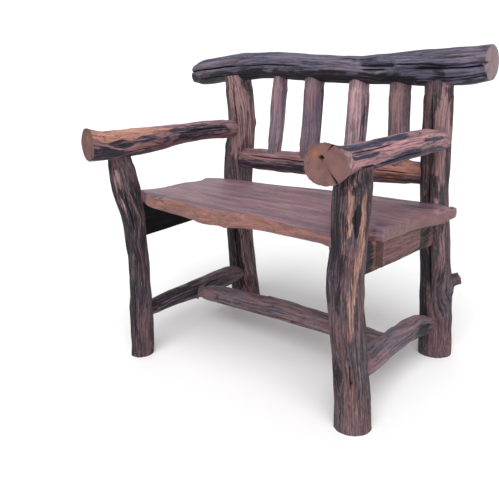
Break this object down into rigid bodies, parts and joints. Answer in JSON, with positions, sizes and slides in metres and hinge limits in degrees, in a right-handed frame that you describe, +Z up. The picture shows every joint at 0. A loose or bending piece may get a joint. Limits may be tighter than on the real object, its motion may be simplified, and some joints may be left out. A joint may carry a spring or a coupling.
{
  "type": "garden bench",
  "caption": "Rustic garden bench of peeled logs with a slab seat, log arms that end in flared sawn faces, and a spindled back under a heavy top rail.",
  "frame": {"origin": "on the floor, under the middle of the bench's bounding box", "axes": "+X runs along the bench to the viewer's right as seen from the front, -Y is the way that a sitter faces, +Z is up"},
  "size_m": [1.0036, 0.6948, 0.8603],
  "materials": {
    "blue_grey_log": "weathered, silvered purple-grey peeled log with long shakes",
    "dark_fibrous_log": "fibrous grey-brown log with torn streaks",
    "spindle_wood": "peeled branch wood, pink-brown with dark stains",
    "peeled_log": "peeled log, orange-pink with blue-black stains",
    "slab_wood": "oiled slab, mauve-pink with an orange-brown waney edge",
    "squared_timber": "sawn squared timber",
    "stretcher_log": "thin peeled log, pink-brown and blue-grey",
    "peg_wood": "turned hardwood peg",
    "zinc_steel": "zinc-plated, dulled"
  },
  "bodies": {
    "root": {"top_rail": "blue_grey_log", "back_post_left": "dark_fibrous_log", "back_post_right": "dark_fibrous_log", "back_spindle_1": "spindle_wood", "back_spindle_2": "spindle_wood", "back_spindle_3": "spindle_wood", "back_spindle_4": "spindle_wood", "lower_back_rail": "peeled_log", "arm_left": "peeled_log", "arm_right": "peeled_log", "front_leg_left": "dark_fibrous_log", "front_leg_right": "dark_fibrous_log", "seat_plank": "slab_wood", "seat_bearer_left": "squared_timber", "seat_bearer_right": "squared_timber", "side_stretcher_left": "stretcher_log", "side_stretcher_right": "stretcher_log", "long_stretcher": "stretcher_log", "top_rail_pegs": "peg_wood", "lower_rail_pegs": "peg_wood", "arm_pegs": "peg_wood", "bearer_pegs": "peg_wood", "side_stretcher_pegs": "peg_wood", "long_stretcher_pegs": "peg_wood", "seat_screws": "zinc_steel", "arm_screws": "zinc_steel", "seat_screw_washers": "zinc_steel", "arm_screw_washers": "zinc_steel"}
  },
  "joints": []
}
